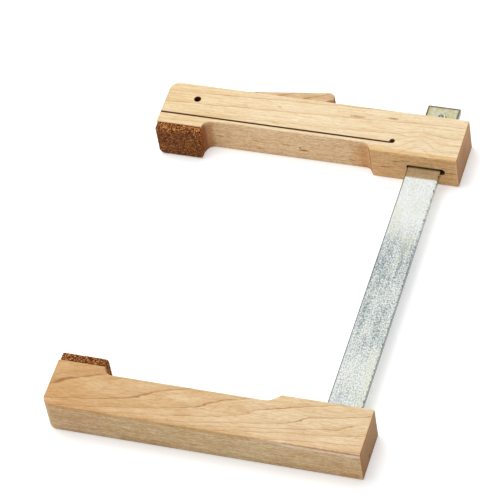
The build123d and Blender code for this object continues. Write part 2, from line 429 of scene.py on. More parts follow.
@dataclass(frozen=True)
class Maple:
    """Bare sanded maple of one board.

    The board has a frame of its own, in millimetres: it starts at the corner, and its Y runs
    with the row frame's Y where across is 1.0 and against it where across is -1.0. The marks
    and zones are in this frame. The growth lines lie where growth gives the growth_places.
    """

    name: str
    pale: Colour
    warm: Colour
    line: Colour
    growth_places: tuple[float, ...]
    growth: Callable[[Spot], Number]
    corner: Point
    across: float
    warm_span: Span | None = None
    flecks: tuple[Fleck, ...] = ()
    cuts: tuple[RoundZone | BoxZone, ...] = ()
    worn: tuple[BoxZone, ...] = ()
    shades: tuple[Shade, ...] = ()
    end_shades: tuple[Shade, ...] = ()
    line_depth: float = 0.9
    # Tint of the faces that look along Y: their warmer side grain, and painted light that lifts them where
    # the tint is over 1.
    side_grain_and_light_tint: Colour = (1.0, 0.90, 0.80)
    end_tint: Colour = (0.70, 0.52, 0.42)
    fleck_colour: Colour = (0.30, 0.14, 0.07)
    # Painted shade inside bores, kerfs and mortises, and along their rims.
    cut_shade_colour: Colour = (0.15, 0.055, 0.014)
    worn_colour: Colour = (1.0, 0.78, 0.60)
    line_half_width: float = 0.06
    wave_height: float = 1.8
    ripple_height: float = 1.3
    fibre_strength: float = 0.42
    fibre_relief: float = 0.05 * MM
    roughness: float = 0.58
    shine: float = 0.3
    seed: float = 0.0

    def material(self) -> bpy.types.Material:
        """Build the board's material.

        Returns:
            The material.
        """
        recipe = Recipe(self.name)
        row_x, row_y, row_z = recipe.place()
        x = row_x - self.corner[0]
        y = (row_y - self.corner[1]) * self.across
        z = row_z - self.corner[2]
        facing_x, facing_y, facing_z = recipe.facing()
        side = facing_y.ramp(0.4, 0.9)
        fibres = recipe.noise(x * 0.06 + self.seed, y * 1.1, z * 0.9, detail=3.0, rough=0.7)
        pores = recipe.noise(x * 0.22, y * 1.7 + self.seed, z * 1.7, detail=1.0)
        dust = recipe.noise(x * 0.4, y * 1.1, z * 1.1, detail=3.0, rough=0.8)
        fibrous = fibres.ramp(0.35, 0.72) * (side * 0.12 + self.fibre_strength)
        porous = pores.ramp(0.58, 0.74, 0.0, 0.36)
        speckled = dust.ramp(0.40, 0.62) * (side * 0.32 + 0.20)
        spot = Spot(recipe, x, y, z)
        colour = self._ground(spot, facing_z)
        colour = self._lined(spot, colour)
        colour = recipe.mix(fibrous, colour, self.warm, "MULTIPLY")
        colour = recipe.mix(porous, colour, self.line, "MULTIPLY")
        colour = recipe.mix(speckled, colour, self.line, "MULTIPLY")
        for fleck in self.flecks:
            colour = recipe.mix(fleck.mask(spot), colour, self.fleck_colour, "MULTIPLY")
        # Painted light on the faces that look along Y, together with their warmer side grain.
        colour = recipe.mix(side, colour, self.side_grain_and_light_tint, "MULTIPLY")
        colour = recipe.mix(facing_x.ramp(0.6, 0.95), colour, self.end_tint, "MULTIPLY")
        for zone, tint in self.shades:
            colour = recipe.mix(zone.mask(spot), colour, tint, "MULTIPLY")
        for zone, tint in self.end_shades:
            shaded = zone.mask(spot) * facing_x.ramp(0.8, 0.98)
            colour = recipe.mix(shaded, colour, tint, "MULTIPLY")
        for zone in self.worn:
            patch = zone.mask(spot) * dust.ramp(0.40, 0.52)
            colour = recipe.mix(patch, colour, self.worn_colour)
        # Painted shade inside the cuts, and along their rims.
        for zone in self.cuts:
            colour = recipe.mix(zone.mask(spot), colour, self.cut_shade_colour)
        normal = recipe.bump(fibres, self.fibre_relief, strength=0.6)
        rough = fibres.ramp(0.2, 0.8, self.roughness - 0.05, self.roughness + 0.06)
        return recipe.surface(
            Base_Color=colour, Roughness=rough, Normal=normal, Specular_IOR_Level=self.shine
        )

    def _ground(self, spot: Spot, facing_z: Number) -> bpy.types.NodeSocket:
        """The wood's colour without its lines: broad pale and warm patches.

        Args:
            spot: the point of the surface.
            facing_z: how far the surface faces up or down.

        Returns:
            The colour.
        """
        recipe, x, y, z = spot
        patches = recipe.noise(x * 0.035 + self.seed, y * 0.11, z * 0.11, detail=3.0, rough=0.6)
        warmth = patches.ramp(0.3, 0.7)
        if self.warm_span:
            drift = x.ramp(*self.warm_span, 1.0, 0.0) * facing_z.ramp(0.2, 0.8, 0.4, 1.0)
            warmth = drift * 0.65 + warmth * 0.35
        return recipe.mix(warmth, self.pale, self.warm)

    def _rings(self, spot: Spot) -> Number:
        """Count the growth lines from the board's edge, with a little waviness.

        Args:
            spot: the point of the surface.

        Returns:
            The count, which is whole on each line.
        """
        recipe, x, y, z = spot
        wave = recipe.noise(x * 0.045 + self.seed, y * 0.08, z * 0.08, detail=1.0) - 0.5
        ripple = recipe.noise(x * 0.15, y * 0.35 + self.seed, z * 0.35, detail=1.5) - 0.5
        straight = self.growth(spot)
        depth = straight + wave * self.wave_height + ripple * self.ripple_height
        span = self.growth_places[-1]
        count = len(self.growth_places)
        points = [(place / span, (index + 1) / count) for index, place in enumerate(self.growth_places)]
        return recipe.curve(depth * (1 / span), [(0.0, 0.0), *points]) * count

    def _lined(self, spot: Spot, colour: bpy.types.NodeSocket) -> bpy.types.NodeSocket:
        """Lay the growth lines over the ground, strong in places and faint in others.

        Args:
            spot: the point of the surface.
            colour: the ground.

        Returns:
            The lined colour.
        """
        recipe, x, y, z = spot
        rings = self._rings(spot)
        from_line = abs((rings + 0.5).part() - 0.5)
        line = from_line.ramp(0.0, self.line_half_width, 1.0, 0.0)
        late_wood = rings.part().ramp(0.55, 1.0, 0.0, 0.20)
        thin_lines = abs((rings * 4.0 + 0.5).part() - 0.5).ramp(0.0, 0.16, 0.22, 0.0)
        patches = recipe.noise(x * 0.035, y * 0.12 + self.seed, z * 0.12)
        strength = patches.ramp(0.3, 0.6, 0.3, 1.0)
        colour = recipe.mix(late_wood.most(thin_lines), colour, self.line, "MULTIPLY")
        return recipe.mix(line * strength * self.line_depth, colour, self.line, "MULTIPLY")


@dataclass(frozen=True)
class Cork:
    """Pressed granulated cork, with its pale grains paler and its dark grains darker towards the top of
    the pad.
    """

    name: str
    dark: Colour = (0.055, 0.017, 0.006)
    brown: Colour = (0.285, 0.095, 0.027)
    tan: Colour = (0.66, 0.27, 0.09)
    top_pale_tint: Colour = (1.30, 1.41, 1.48)
    top_dark_tint: Colour = (0.50, 0.44, 0.40)
    # Painted light: the pad's faces that look along X are lifted above the cork's own colour.
    end_tint: Colour = (1.28, 1.28, 1.18)
    coarse: float = 0.95
    fine: float = 0.55
    coarse_share: float = 0.42
    top_span: Span = (20.0, 22.5)
    relief: float = 0.4 * MM
    roughness: float = 0.85
    shine: float = 0.1

    def material(self) -> bpy.types.Material:
        """Build the cork's material.

        Returns:
            The material.
        """
        recipe = Recipe(self.name)
        x, y, z = recipe.place()
        coarse = recipe.cells(x * (1 / self.coarse), y * (1 / self.coarse), z * (1 / self.coarse))
        fine = recipe.cells(x * (1 / self.fine), y * (1 / self.fine), z * (1 / self.fine))
        fine_share = 1 - self.coarse_share
        tone = self._tone(recipe, coarse) * self.coarse_share + self._tone(recipe, fine) * fine_share
        stops = [(0.14, self.dark), (0.36, self.brown), (0.62, self.brown), (0.86, self.tan)]
        colour = recipe.ramp(tone, stops)
        gap = Number(recipe, coarse.outputs["Distance"])
        colour = recipe.mix(gap.ramp(0.45, 0.75, 0.0, 0.8), colour, self.dark)
        # Towards the top of the pad, pale grains are made paler and dark grains darker.
        high = z.ramp(*self.top_span)
        colour = recipe.mix(high * tone.ramp(0.46, 0.60), colour, self.top_pale_tint, "MULTIPLY")
        colour = recipe.mix(high * tone.ramp(0.50, 0.40), colour, self.top_dark_tint, "MULTIPLY")
        facing_x, _, _ = recipe.facing()
        # Painted light on the faces that look along X.
        colour = recipe.mix(facing_x.ramp(0.6, 0.95), colour, self.end_tint, "MULTIPLY")
        normal = recipe.bump(1 - gap, self.relief)
        return recipe.surface(
            Base_Color=colour, Roughness=self.roughness, Normal=normal, Specular_IOR_Level=self.shine
        )

    @staticmethod
    def _tone(recipe: Recipe, cells: bpy.types.ShaderNode) -> Number:
        """The first number of each cell's own colour."""
        parts = recipe.node("ShaderNodeSeparateColor", None, {0: cells.outputs["Color"]})
        return Number(recipe, parts.outputs[0])


@dataclass(frozen=True)
class ZincPlate:
    """Dull zinc plating: mottled and streaked grey along its middle, stained at its free end.

    Each span gives the places along the bar, in the row frame's millimetres, between which one
    effect comes in.
    """

    name: str
    middle: float
    half_width: float
    free_end: float
    pin_place: tuple[float, float]
    pin_radius: float
    blotches: tuple[Fleck, ...] = ()
    pale: Colour = (0.91, 0.935, 0.89)
    grey: Colour = (0.21, 0.27, 0.29)
    olive: Colour = (0.78, 0.78, 0.58)
    end_olive: Colour = (0.58, 0.52, 0.27)
    pit: Colour = (0.06, 0.07, 0.07)
    # Painted shade on the bar's sides and ends: dark, and paler near the sliding jaw.
    side: Colour = (0.11, 0.135, 0.125)
    side_pale: Colour = (0.38, 0.40, 0.355)
    dull_span: Span = (50.0, 18.0)
    clear_span: Span = (-25.0, -75.0)
    speck_span: Span = (45.0, 15.0)
    stain_span: Span = (0.0, 50.0)
    yellow_span: Span = (-45.0, -80.0)
    scratch_span: Span = (15.0, 50.0)
    patina_span: Span = (122.0, 128.0)
    side_span: Span = (70.0, 0.0)
    metallic: float = 0.95
    relief: float = 0.03 * MM

    def material(self) -> bpy.types.Material:
        """Build the plating's material.

        Returns:
            The material.
        """
        recipe = Recipe(self.name)
        x, y, z = recipe.place()
        spot = Spot(recipe, x, y, z)
        across = x - self.middle
        spangle = recipe.noise(x * 1.6, y * 1.1, z * 1.6, detail=3.0, rough=0.75)
        colour = self._mottled(spot, across, spangle)
        colour = self._stained(spot, colour, across)
        # Painted shade: the sides and ends take a dark colour, paler near the sliding jaw.
        facing_x, facing_y, _ = recipe.facing()
        on_side = facing_x.most(facing_y).ramp(0.4, 0.9, 0.0, 0.95)
        side = recipe.mix(y.ramp(*self.side_span), self.side_pale, self.side)
        colour = recipe.mix(on_side, colour, side)
        colour = recipe.mix(self._dark_marks(spot, across), colour, self.pit)
        rough = spangle.ramp(0.3, 0.7, 0.07, 0.15)
        normal = recipe.bump(spangle, self.relief, strength=0.3)
        return recipe.surface(Base_Color=colour, Metallic=self.metallic, Roughness=rough, Normal=normal)

    def _mottled(self, spot: Spot, across: Number, spangle: Number) -> bpy.types.NodeSocket:
        """Grey the pale plating in clouds, streaks and specks.

        Args:
            spot: the point of the surface.
            across: the distance from the bar's middle line.
            spangle: the fine noise of the plating's crystals.

        Returns:
            The colour.
        """
        recipe, x, y, z = spot
        cloud = recipe.noise(x * 0.16, y * 0.05, z * 0.1, detail=3.0, rough=0.6)
        streaks = recipe.noise(x * 1.1, y * 0.03, z * 0.55, detail=3.0, rough=0.65)
        clouded = cloud.ramp(0.32, 0.68, 0.70, 1.30)
        streaked = streaks.ramp(0.35, 0.65, 0.72, 1.28)
        mottle = spangle.ramp(0.38, 0.60, 0.25, 1.80)
        dulled = y.ramp(*self.dull_span, 0.08, 0.42) - y.ramp(*self.clear_span, 0.0, 0.17)
        specks = recipe.noise(x, y * 0.75, z + 40.0, detail=2.5, rough=0.8)
        speckled = specks.ramp(0.47, 0.58, -0.17, 0.30) * y.ramp(*self.speck_span, 0.12, 1.0)
        greyness = dulled * clouded * streaked * mottle + speckled
        for blotch in self.blotches:
            greyness = greyness + blotch.mask(Spot(recipe, across, y, z)) * mottle
        return recipe.mix(greyness.least(0.95), self.pale, self.grey)

    def _stained(
        self, spot: Spot, colour: bpy.types.NodeSocket, across: Number
    ) -> bpy.types.NodeSocket:
        """Lay olive stains, scratches and the free end's patina over the plating.

        Args:
            spot: the point of the surface.
            colour: the plating so far.
            across: the distance from the bar's middle line.

        Returns:
            The colour.
        """
        recipe, x, y, z = spot
        stain = recipe.noise(x * 0.14, y * 0.07, z * 0.1).ramp(0.48, 0.68, 0.0, 0.5)
        colour = recipe.mix(stain * y.ramp(*self.stain_span, 0.25, 0.8), colour, self.olive)
        yellowed = across.ramp(2.0, 9.0) * y.ramp(*self.yellow_span, 0.0, 0.32)
        colour = recipe.mix(yellowed, colour, self.olive)
        scratch = recipe.noise(x * 0.22 + y * 0.05, y * 0.16 - x * 0.08, 0.0, detail=4.0, rough=0.75)
        scratched = abs(scratch - 0.5).ramp(0.0, 0.012, 0.5, 0.0)
        colour = recipe.mix(scratched * y.ramp(*self.scratch_span, 0.25, 1.0), colour, self.grey)
        patina = recipe.noise(x * 0.35, y * 0.3, z * 0.3, detail=3.0, rough=0.6)
        end_stain = y.ramp(*self.patina_span) * patina.ramp(0.35, 0.65, 0.55, 1.0)
        return recipe.mix(end_stain, colour, self.end_olive)

    def _dark_marks(self, spot: Spot, across: Number) -> Number:
        """Pits, nicks along the edges, the rim at the free end, and the ring round the pin, which is
        partly pitting and partly painted shade of the gap round it.

        Args:
            spot: the point of the surface.
            across: the distance from the bar's middle line.

        Returns:
            How dark the marks are.
        """
        recipe, x, y, z = spot
        pits = recipe.noise(x * 1.7, y * 1.3, z * 1.7, detail=1.0).ramp(0.70, 0.78, 0.0, 0.6)
        nicks = recipe.noise(x * 0.5, y * 0.4, z * 0.5, detail=3.0, rough=0.7).ramp(0.50, 0.60)
        edge = abs(across).ramp(self.half_width - 1.0, self.half_width - 0.4)
        low_side = across.ramp(0.0, -1.0)
        nicked = edge * (1 - low_side) * nicks * 0.9
        lined = edge * low_side * 0.8
        at_end = y.ramp(self.free_end - 22.0, self.free_end - 18.0)
        wide_edge = abs(across).ramp(self.half_width - 1.6, self.half_width - 1.0)
        rim = wide_edge.most(y.ramp(self.free_end - 1.9, self.free_end - 1.2))
        # Partly pitting and partly painted shade: a dark ring on the bar round the pin.
        ring = RoundZone(self.pin_place, self.pin_radius + 0.45, soft=0.3, depth=0.9)
        marks = pits.most(nicked).most(lined).most(ring.mask(spot))
        return marks.most(rim * at_end * nicks.most(0.75) * 0.95)


@dataclass(frozen=True)
class Steel:
    """Plain steel of a pin, with fine turning marks."""

    name: str
    colour: Colour
    roughness: float

    def material(self) -> bpy.types.Material:
        """Build the steel's material.

        Returns:
            The material.
        """
        recipe = Recipe(self.name)
        x, y, z = recipe.place()
        marks = recipe.noise(x * 0.8, y * 0.8, z * 4.0)
        colour = recipe.mix(marks.ramp(0.3, 0.7, 0.0, 0.35), self.colour, BLACK)
        rough = marks.ramp(0.3, 0.7, self.roughness, self.roughness + 0.12)
        return recipe.surface(Base_Color=colour, Metallic=1.0, Roughness=rough)


class Bench:
    """Modelling steps on one object at a time."""

    MERGE_DISTANCE = 0.001 * MM

    @staticmethod
    def only(piece: bpy.types.Object) -> None:
        """Select one object alone and make it the active one.

        Args:
            piece: the object.
        """
        bpy.ops.object.select_all(action="DESELECT")
        piece.select_set(True)
        bpy.context.view_layer.objects.active = piece

    @classmethod
    def copy_of(cls, node: str, name: str) -> bpy.types.Object:
        """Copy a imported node's mesh as a closed piece of its own.

        Args:
            node: the node to copy.
            name: the new piece's name.

        Returns:
            The new piece, at the origin, with no parent.
        """
        piece = bpy.data.objects.new(name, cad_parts[node].data.copy())
        bpy.context.scene.collection.objects.link(piece)
        cls.only(piece)
        bpy.ops.mesh.customdata_custom_splitnormals_clear()
        bpy.ops.object.mode_set(mode="EDIT")
        bpy.ops.mesh.select_all(action="SELECT")
        bpy.ops.mesh.remove_doubles(threshold=cls.MERGE_DISTANCE)
        bpy.ops.object.mode_set(mode="OBJECT")
        return piece

    @classmethod
    def finish_with(cls, piece: bpy.types.Object, kind: str, **settings: Any) -> None:
        """Add a modifier and apply it.

        Args:
            piece: the object to work on.
            kind: the modifier's type.
            **settings: the modifier's settings by name.
        """
        cls.only(piece)
        modifier = piece.modifiers.new(kind.lower(), kind)
        for name, value in settings.items():
            setattr(modifier, name, value)
        bpy.ops.object.modifier_apply(modifier=modifier.name)

    @classmethod
    def smooth(cls, piece: bpy.types.Object, degrees: float) -> None:
        """Shade a piece smooth where its faces meet at less than an angle."""
        cls.only(piece)
        bpy.ops.object.shade_smooth_by_angle(angle=math.radians(degrees))

    @classmethod
    def cut_across(cls, piece: bpy.types.Object, places: Sequence[float]) -> None:
        """Cut a piece's faces by planes across X, without parting it.

        Args:
            piece: the object to work on.
            places: where the planes cross the X axis.
        """
        cls.only(piece)
        bpy.ops.object.mode_set(mode="EDIT")
        for place in places:
            bpy.ops.mesh.select_all(action="SELECT")
            bpy.ops.mesh.bisect(plane_co=(place, 0.0, 0.0), plane_no=(1.0, 0.0, 0.0))
        bpy.ops.object.mode_set(mode="OBJECT")

    @staticmethod
    def dress(piece: bpy.types.Object, material: bpy.types.Material) -> None:
        """Give a piece one material."""
        piece.data.materials.clear()
        piece.data.materials.append(material)


def dress_node(node: str, material: bpy.types.Material) -> None:
    """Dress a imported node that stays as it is.

    Args:
        node: the node's name.
        material: its finish.
    """
    Bench.dress(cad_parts[node], material)
    LOG.info("dressed %s", node)


@dataclass
class FixedJaw:
    """The jaw that holds the bar, with its cork pad."""

    thickness: float = 25.0
    growth_reach: float = 36.0
    growth_steps: tuple[Span, ...] = (
        (0.0, 0.272),
        (0.14, 0.352),
        (0.40, 0.494),
        (0.53, 0.530),
        (1.0, 1.0),
    )
    tilt: float = 0.18
    easing_from: float = 150.0
    easing: float = 0.05
    fineness: float = 4.0

    def growth(self, spot: Spot) -> Number:
        """Where growth lines run: they drift across the board, and step up near its middle.

        Args:
            spot: the point of the surface.

        Returns:
            The distance across the growth lines.
        """
        recipe, x, y, z = spot
        across = recipe.curve(y * (1 / self.growth_reach), self.growth_steps) * self.growth_reach
        eased = (x - self.easing_from).most(0.0) * self.easing
        return across + x * self.tilt - eased + (self.thickness - z) * self.fineness

    def build(self) -> None:
        """Dress the jaw and make its pad."""
        low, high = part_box("fixed_jaw")
        wood = Maple(
            name="fixed_jaw_maple",
            pale=(0.84, 0.685, 0.45),
            warm=(0.615, 0.38, 0.165),
            line=(0.58, 0.40, 0.26),
            growth_places=(9.0, 19.2, 29.3, 36.2, 41.7, 47.0, 50.5, 54.0, 60.5),
            growth=self.growth,
            corner=(low.x / MM, high.y / MM, low.z / MM),
            across=-1.0,
            warm_span=(-20.0, 200.0),
            # Painted light: the faces that look along Y are lifted above the wood's own colour.
            side_grain_and_light_tint=(1.19, 1.23, 1.18),
            end_tint=(0.51, 0.355, 0.20),
            fibre_strength=0.34,
            flecks=(Fleck((178.8, 35.0, 9.0), (0.9, 1.5, 0.5), depth=0.9),),
            worn=self._worn_edges(),
            shades=self._shades(),
            end_shades=self._end_shades(),
            seed=3.0,
        )
        dress_node("fixed_jaw", wood.material())
        CorkPad("fixed_jaw_cork_pad", "fixed_pad_cork", Body.FIXED).build()

    @staticmethod
    def _worn_edges() -> tuple[BoxZone, ...]:
        """Where the top edge of the back is rubbed pale.

        Returns:
            The faint and the strong part.
        """
        faint = BoxZone((135.0, 34.0, 22.6), (155.0, 36.0, 24.0), soft=0.6, depth=0.45, ragged=1.6)
        strong = BoxZone((154.0, 34.0, 21.9), (202.5, 36.0, 23.7), soft=0.5, depth=1.0, ragged=1.4)
        return faint, strong

    @staticmethod
    def _shades() -> tuple[Shade, ...]:
        """Handling marks on the back and the top, and painted shade along the foot of the back.

        Returns:
            Each zone with its tint.
        """
        line_over_wear = BoxZone((154.0, 33.0, 24.0), (202.0, 36.0, 24.7), 0.4, 0.85, ragged=0.8)
        soiled_edge = BoxZone((-2.0, 33.0, 22.4), (150.0, 36.0, 24.8), 1.0, 0.9, ragged=2.8)
        # Painted shade: a dark band along the foot of the back, where the jaw meets the floor.
        foot_painted_shade = BoxZone((-2.0, 33.0, -1.0), (204.0, 36.0, 0.5), 0.6, 0.8)
        stain = BoxZone((50.0, 33.0, 1.5), (80.0, 36.0, 4.5), 2.5, 0.9, ragged=3.0)
        small_stain = BoxZone((190.0, 33.0, 1.0), (199.0, 36.0, 4.0), 2.5, 0.9, ragged=2.0)
        cool_tip = BoxZone((8.0, 33.0, -1.0), (34.0, 36.0, 20.0), 7.0)
        warm_heel = BoxZone((160.0, 34.0, -1.0), (204.0, 36.0, 22.0), 9.0)
        warm_tip_top = BoxZone((-2.0, -2.0, 24.5), (50.0, 34.0, 26.0), 12.0)
        return (
            (line_over_wear, (0.72, 0.52, 0.40)),
            (soiled_edge, (0.95, 0.87, 0.75)),
            (foot_painted_shade, (0.70, 0.60, 0.52)),
            (stain, (0.84, 0.75, 0.64)),
            (small_stain, (0.94, 0.78, 0.60)),
            (cool_tip, (1.0, 0.97, 1.03)),
            (warm_heel, (0.99, 0.93, 0.90)),
            (warm_tip_top, (0.97, 0.94, 0.91)),
        )

    @staticmethod
    def _end_shades() -> tuple[Shade, ...]:
        """Marks on the end by the bar, and painted shade with a warm reflection along its upright front
        edge.

        Returns:
            Each zone with its tint.
        """
        # Painted shade and warm reflection on the eased upright front edge, over the end grain's own
        # colour.
        upright_edge_painted_light = BoxZone((200.0, 32.2, -1.0), (205.0, 36.0, 26.0), 1.4)
        light_top = BoxZone((200.0, -1.0, 20.5), (205.0, 36.0, 26.0), 2.5)
        top_line = BoxZone((200.0, -1.0, 24.3), (205.0, 36.0, 26.0), 0.4, 0.8, ragged=1.2)
        dark_dot = BoxZone((200.0, 19.4, 4.4), (205.0, 21.0, 6.0), 0.6)
        return (
            (upright_edge_painted_light, (0.98, 0.80, 0.42)),
            (light_top, (1.25, 1.08, 0.66)),
            (top_line, (0.88, 0.66, 0.45)),
            (dark_dot, (0.16, 0.09, 0.05)),
        )


@dataclass
class SlidingJaw:
    """The jaw that runs on the bar: its block and cheeks, its springy tongue and its pad."""

    thickness: float = 25.0
    tilt: float = 0.05
    swirl_x: float = 175.5
    swirl_reach: float = 22.0
    swirl_span: Span = (11.0, 24.0)
    swirl_rise: Span = (0.4, 8.5)
    fineness: float = 4.0
    bend_cuts: int = 28
    seam_reach: float = 0.01 * MM
    seam_cover: float = 0.06 * MM
    strip_end: float = 37.5 * MM
    sharp_angle: float = 30.0

    def growth(self, spot: Spot) -> Number:
        """Where growth lines run: nearly straight, with one swirl near the bar.

        Args:
            spot: the point of the surface.

        Returns:
            The distance across the growth lines.
        """
        _, x, y, z = spot
        height = y.ramp(*self.swirl_span, *self.swirl_rise)
        swirl = abs(x - self.swirl_x).ramp(self.swirl_reach, 0.0)
        return y + x * self.tilt + swirl * swirl * height + (self.thickness - z) * self.fineness

    def build(self) -> None:
        """Dress the jaw, make its tongue and its pad."""
        low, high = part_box("sliding_jaw")
        wood = Maple(
            name="sliding_jaw_maple",
            pale=(0.838, 0.719, 0.504),
            warm=(0.78, 0.615, 0.375),
            warm_span=(0.0, 90.0),
            line=(0.66, 0.45, 0.29),
            line_depth=0.75,
            line_half_width=0.045,
            fibre_strength=0.55,
            growth_places=(8.0, 17.5, 27.5, 33.5, 39.5, 46.0),
            growth=self.growth,
            corner=(low.x / MM, high.y / MM, low.z / MM),
            across=-1.0,
            # Painted light: the faces that look along Y are lifted above the wood's own colour.
            side_grain_and_light_tint=(1.245, 1.14, 1.06),
            end_tint=(0.64, 0.39, 0.22),
            fleck_colour=(0.42, 0.17, 0.035),
            flecks=self._flecks(),
            cuts=self._cuts(),
            shades=self._shades(),
            end_shades=self._end_shades(),
            seed=11.0,
        ).material()
        dress_node("sliding_jaw", wood)
        self._tongue(wood)
        CorkPad("sliding_jaw_cork_pad", "sliding_pad_cork", Body.TONGUE).build()

    @staticmethod
    def _flecks() -> tuple[Fleck, ...]:
        """The dark marks of the board: three on its top, the others on its front.

        Returns:
            The marks.
        """
        top = (
            Fleck((153.6, 7.0, 25.0), (5.5, 1.1, 1.5), 0.75),
            Fleck((130.0, 9.3, 25.0), (7.0, 1.6, 1.5), 0.55),
            Fleck((77.5, 9.8, 25.0), (2.2, 0.7, 1.0), 0.6),
        )
        tongue_front, block_front, reach = 30.5, 36.0, 1.5
        tongue_marks = (
            (41.0, 11.6, 3.6, 0.62, 0.9),
            (47.0, 12.0, 2.8, 0.6, 0.9),
            (65.6, 11.8, 2.8, 0.62, 0.9),
            (67.0, 4.6, 3.4, 0.65, 1.0),
            (86.0, 11.8, 3.6, 0.62, 1.0),
            (97.8, 8.8, 4.8, 1.0, 1.0),
            (95.5, 10.6, 1.2, 1.6, 0.8),
            (130.5, 5.8, 3.6, 0.7, 0.9),
        )
        block_marks = (
            (162.5, 17.2, 5.2, 0.7, 1.0),
            (168.5, 18.6, 4.4, 0.65, 0.8),
            (154.0, 10.4, 5.2, 0.7, 1.0),
            (158.5, 11.2, 3.0, 0.5, 0.8),
            (199.5, 12.3, 5.0, 0.5, 1.0),
        )
        front = tuple(
            Fleck((x, face, z), (half_length, reach, half_height), depth)
            for face, marks in ((tongue_front, tongue_marks), (block_front, block_marks))
            for x, z, half_length, half_height, depth in marks
        )
        return (*top, *front)

    @staticmethod
    def _cuts() -> tuple[RoundZone | BoxZone, ...]:
        """The sawn and bored walls, with painted shade inside them.

        Returns:
            The zones of the pivot's bore, the kerf's end, the kerf and the mortise.
        """
        pivot_bore = RoundZone((21.5, 12.7), 2.3)
        kerf_end = RoundZone((157.9, 25.9), 1.75, depth=0.9)
        kerf = BoxZone((-2.0, 26.5, -1.0), (157.0, 27.9, 26.0), 0.12, 0.85)
        mortise = BoxZone((169.0, -1.0, 9.6), (194.8, 35.5, 15.4), 0.3, 0.85)
        return pivot_bore, kerf_end, kerf, mortise

    @staticmethod
    def _shades() -> tuple[Shade, ...]:
        """Painted shade on the block's front and in the coves at both ends of the relief.

        Returns:
            Each zone with its tint.
        """
        # Painted shade: the block's front is darkened, and the coves at both ends of the relief as well.
        block_front = BoxZone((139.5, 33.0, -1.0), (202.0, 37.0, 26.0), 0.8)
        tip_cove = BoxZone((28.0, 30.0, -1.0), (33.8, 36.0, 20.5), 4.4, 1.0, ragged=0.5)
        bar_cove = BoxZone((135.0, 30.0, -1.0), (142.0, 35.1, 22.0), 0.8, 0.9)
        bar_cove_heart = BoxZone((137.5, 30.0, -1.0), (142.0, 35.1, 22.0), 0.8, 0.9)
        bar_cove_foot = BoxZone((132.0, 29.0, -1.0), (142.0, 31.0, 20.5), 4.4, 0.9)
        return (
            (block_front, (0.91, 0.79, 0.62)),
            (tip_cove, (0.64, 0.46, 0.33)),
            (bar_cove, (0.93, 0.86, 0.78)),
            (bar_cove_heart, (0.93, 0.86, 0.78)),
            (bar_cove_foot, (0.92, 0.82, 0.70)),
        )

    @staticmethod
    def _end_shades() -> tuple[Shade, ...]:
        """Marks on the end by the bar, and a painted warm highlight along its upright front edge.

        Returns:
            Each zone with its tint.
        """
        # Painted warm highlight on the eased upright front edge.
        upright_edge_painted_light = BoxZone((200.0, 33.0, -1.0), (205.0, 37.0, 26.0), 1.4)
        light_top = BoxZone((200.0, -1.0, 20.8), (205.0, 37.0, 26.0), 2.5)
        top_line = BoxZone((200.0, -1.0, 24.2), (205.0, 37.0, 26.0), 0.4, 0.9, ragged=1.2)
        dim_half = BoxZone((200.0, 18.0, -1.0), (205.0, 37.0, 26.0), 5.0)
        cool_corner = BoxZone((200.0, -1.0, -1.0), (205.0, 10.0, 19.0), 4.0)
        return (
            (upright_edge_painted_light, (1.00, 0.85, 0.60)),
            (light_top, (1.30, 1.23, 0.92)),
            (top_line, (0.82, 0.55, 0.34)),
            (dim_half, (0.88, 0.87, 0.87)),
            (cool_corner, (1.04, 1.09, 1.16)),
        )

    def _tongue(self, wood: bpy.types.Material) -> None:
        """Make the tongue in the place of its plain node, cut across into strips from near its tip to its
        root, where it is one with the jaw.

        Args:
            wood: the jaw's own material.
        """
        low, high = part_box("jaw_tongue")
        piece = Bench.copy_of("jaw_tongue", "springy_tongue")
        for vertex in piece.data.vertices:
            if vertex.co.x > high.x - self.seam_reach:
                vertex.co.x += self.seam_cover
        step = (high.x - low.x - self.strip_end) / self.bend_cuts
        Bench.cut_across(piece, [low.x + self.strip_end + step * index for index in range(self.bend_cuts)])
        Bench.smooth(piece, self.sharp_angle)
        Bench.dress(piece, wood)
        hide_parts("jaw_tongue")
        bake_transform(piece)
        LOG.info("made %s", piece.name)


@dataclass
class CorkPad:
    """A pad of pressed cork with a rough, granular skin."""

    node: str
    name: str
    body: Body
    voxel: float = 0.4 * MM
    grain: float = 1.0 * MM
    relief: float = 0.4 * MM
    level: float = 0.35
    sharp_angle: float = 50.0

    def build(self) -> None:
        """Make the pad in the place of its plain node."""
        piece = Bench.copy_of(self.node, self.name)
        Bench.finish_with(piece, "REMESH", mode="VOXEL", voxel_size=self.voxel)
        grains = bpy.data.textures.new(self.name + "_grains", "VORONOI")
        grains.noise_scale = self.grain
        Bench.finish_with(piece, "DISPLACE", texture=grains, strength=self.relief, mid_level=self.level)
        Bench.smooth(piece, self.sharp_angle)
        Bench.dress(piece, Cork(self.name + "_finish").material())
        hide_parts(self.node)
        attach(piece, self.body.value)
        LOG.info("made %s", piece.name)


